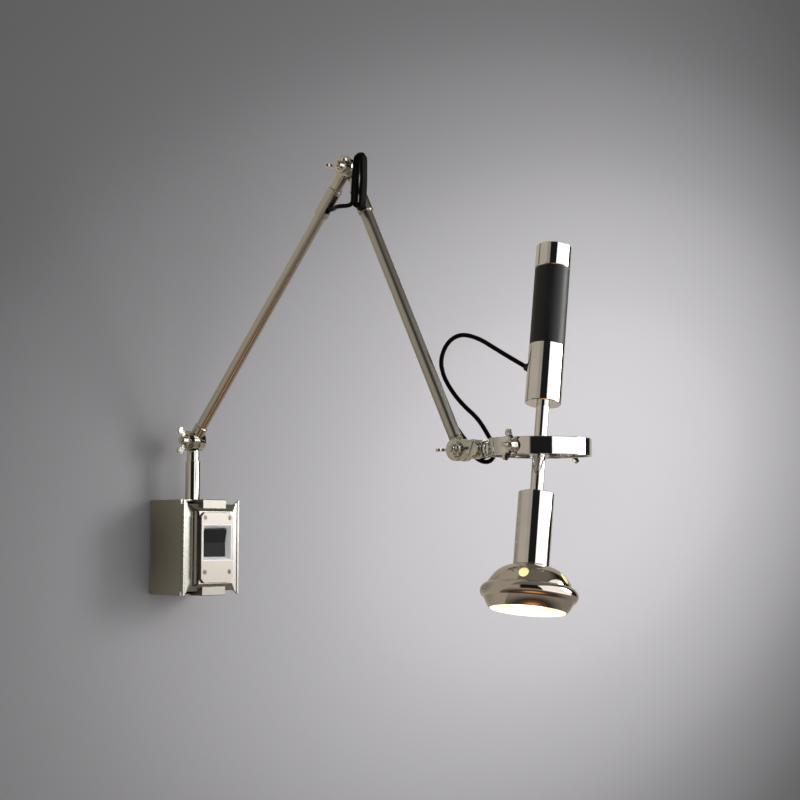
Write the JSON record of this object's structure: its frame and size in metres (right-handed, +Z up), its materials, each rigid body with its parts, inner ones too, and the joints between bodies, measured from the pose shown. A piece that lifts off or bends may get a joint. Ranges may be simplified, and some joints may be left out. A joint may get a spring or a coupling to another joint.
{
  "type": "articulating wall lamp",
  "caption": "Two-arm articulating wall lamp: switch box with a swivel post, tube arms on wing-nut knuckles, and a rod-shaped head with handle and domed shade in a gimbal ring.",
  "frame": {"origin": "middle of the wall box's rear face, on the wall", "axes": "+Y into the wall, -Y out into the room, +Z up, +X to the right of someone facing the wall"},
  "size_m": [0.2107, 0.638, 0.5715],
  "materials": {
    "wall_plate": "zinc plated",
    "box_satin": "satin nickel",
    "frame_polish": "polished nickel",
    "switch_satin": "satin",
    "screw_steel": "bright",
    "insert_white": "gloss",
    "rocker_black": "satin",
    "mechanism_white": "matt",
    "post_polish": "polished nickel",
    "knuckle_nickel": "bright nickel",
    "tube_nickel": "satin nickel",
    "nut_nickel": "polished nickel",
    "head_chrome": "polished",
    "shade_chrome": "polished",
    "grip_black": "matt",
    "cord_rubber": "satin",
    "bulb_base": "bright",
    "bulb_glass": "frosted"
  },
  "bodies": {
    "wall_box": {"back_plate": "wall_plate", "cable_grommet": "cord_rubber", "box_body": "box_satin", "front_frame": "frame_polish", "frame_tabs": "frame_polish", "switch_plate": "switch_satin", "plate_screws": "screw_steel", "switch_insert": "insert_white", "switch_housing": "mechanism_white", "terminal_block": "mechanism_white", "post_sleeve": "post_polish", "post_nut": "screw_steel"},
    "rocker_button": {"rocker": "rocker_black"},
    "post": {"post_spindle": "post_polish", "spindle_retainer": "screw_steel", "shoulder_bolt": "screw_steel", "shoulder_washers": "screw_steel"},
    "shoulder_nut": {"shoulder_wing_nut": "nut_nickel"},
    "lower_arm": {"lower_arm_knuckle": "knuckle_nickel", "lower_tube": "tube_nickel", "lower_collar": "tube_nickel", "elbow_knuckle": "knuckle_nickel"},
    "elbow_nut": {"elbow_wing_nut": "nut_nickel"},
    "upper_arm": {"upper_arm_knuckle": "knuckle_nickel", "upper_tube": "tube_nickel", "wrist_knuckle": "knuckle_nickel", "elbow_bolt": "screw_steel", "elbow_washers": "screw_steel", "wrist_bolt": "screw_steel", "wrist_washers": "screw_steel", "elbow_hank": "cord_rubber", "elbow_lead": "cord_rubber"},
    "wrist_nut": {"wrist_wing_nut": "nut_nickel"},
    "bracket": {"ring_bracket": "knuckle_nickel", "lock_screw": "screw_steel", "wrist_lead": "cord_rubber"},
    "gimbal": {"ring_stem": "head_chrome", "stem_nut": "screw_steel", "gimbal_ring": "head_chrome", "ring_lead": "cord_rubber"},
    "inner_gimbal": {"inner_ring": "head_chrome", "pivot_screws": "screw_steel", "lower_head_cord": "cord_rubber"},
    "near_nut": {"near_pivot_nut": "nut_nickel"},
    "far_nut": {"far_pivot_nut": "nut_nickel"},
    "lamp_head": {"trunnion_screws": "screw_steel", "rod_hub": "head_chrome", "head_rod": "head_chrome", "rod_nuts": "screw_steel", "handle_barrel": "head_chrome", "handle_core": "wall_plate", "grip_sleeve": "grip_black", "handle_cap": "head_chrome", "cable_gland": "grip_black", "lampholder_cover": "head_chrome", "lampholder": "mechanism_white", "shade": "shade_chrome", "bulb_base": "bulb_base", "bulb_glass": "bulb_glass", "upper_head_cord": "cord_rubber"}
  },
  "joints": [
    {"name": "rocker_press", "type": "hinge", "parent": "wall_box", "child": "rocker_button", "pos_m": [0, -0.088, 0.0065], "axis": [1, 0, 0], "range_deg": [-10, 0]},
    {"name": "post_swivel", "type": "hinge", "parent": "wall_box", "child": "post", "pos_m": [0, -0.044, 0], "axis": [0, 0, 1], "range_deg": [-75, 65]},
    {"name": "shoulder_hinge", "type": "hinge", "parent": "post", "child": "lower_arm", "pos_m": [0, -0.044, 0.1425], "axis": [-0.9877, -0.1564, 0], "range_deg": [-50, 37]},
    {"name": "elbow_hinge", "type": "hinge", "parent": "lower_arm", "child": "upper_arm", "pos_m": [0.04071, -0.30104, 0.48166], "axis": [0.9877, 0.1564, 0], "range_deg": [-115, 24], "deforming": ["elbow_lead"]},
    {"name": "wrist_hinge", "type": "hinge", "parent": "upper_arm", "child": "bracket", "pos_m": [0.06696, -0.46675, 0.11689], "axis": [-0.9877, -0.1564, 0], "range_deg": [-70, 35], "deforming": ["wrist_lead"]},
    {"name": "ring_roll", "type": "hinge", "parent": "bracket", "child": "gimbal", "pos_m": [0.06696, -0.46675, 0.11689], "axis": [0.1564, -0.9877, -0.007], "range_deg": [-45, 45], "deforming": ["ring_lead"]},
    {"name": "ring_tilt", "type": "hinge", "parent": "gimbal", "child": "inner_gimbal", "pos_m": [0.08377, -0.57292, 0.11614], "axis": [0.9877, 0.1564, 0], "range_deg": [-30, 30], "deforming": ["lower_head_cord"]},
    {"name": "head_tilt", "type": "hinge", "parent": "inner_gimbal", "child": "lamp_head", "pos_m": [0.08377, -0.57292, 0.11614], "axis": [0.1564, -0.9873, 0.0279], "range_deg": [-35, 40], "deforming": ["upper_head_cord"]},
    {"name": "shoulder_nut_turn", "type": "hinge", "parent": "post", "child": "shoulder_nut", "pos_m": [-0.01338, -0.04612, 0.1425], "axis": [-0.9877, -0.1564, 0], "range_deg": [-45, 180]},
    {"name": "elbow_nut_turn", "type": "hinge", "parent": "upper_arm", "child": "elbow_nut", "pos_m": [0.02733, -0.30316, 0.48166], "axis": [-0.9877, -0.1564, 0], "range_deg": [-45, 180]},
    {"name": "wrist_nut_turn", "type": "hinge", "parent": "upper_arm", "child": "wrist_nut", "pos_m": [0.05357, -0.46887, 0.11689], "axis": [-0.9877, -0.1564, 0], "range_deg": [-45, 180]},
    {"name": "near_pivot_nut_turn", "type": "hinge", "parent": "inner_gimbal", "child": "near_nut", "pos_m": [0.02451, -0.58231, 0.11614], "axis": [-0.9877, -0.1564, 0], "range_deg": [-45, 180]},
    {"name": "far_pivot_nut_turn", "type": "hinge", "parent": "inner_gimbal", "child": "far_nut", "pos_m": [0.14303, -0.56354, 0.11614], "axis": [0.9877, 0.1564, 0], "range_deg": [-45, 180]}
  ]
}
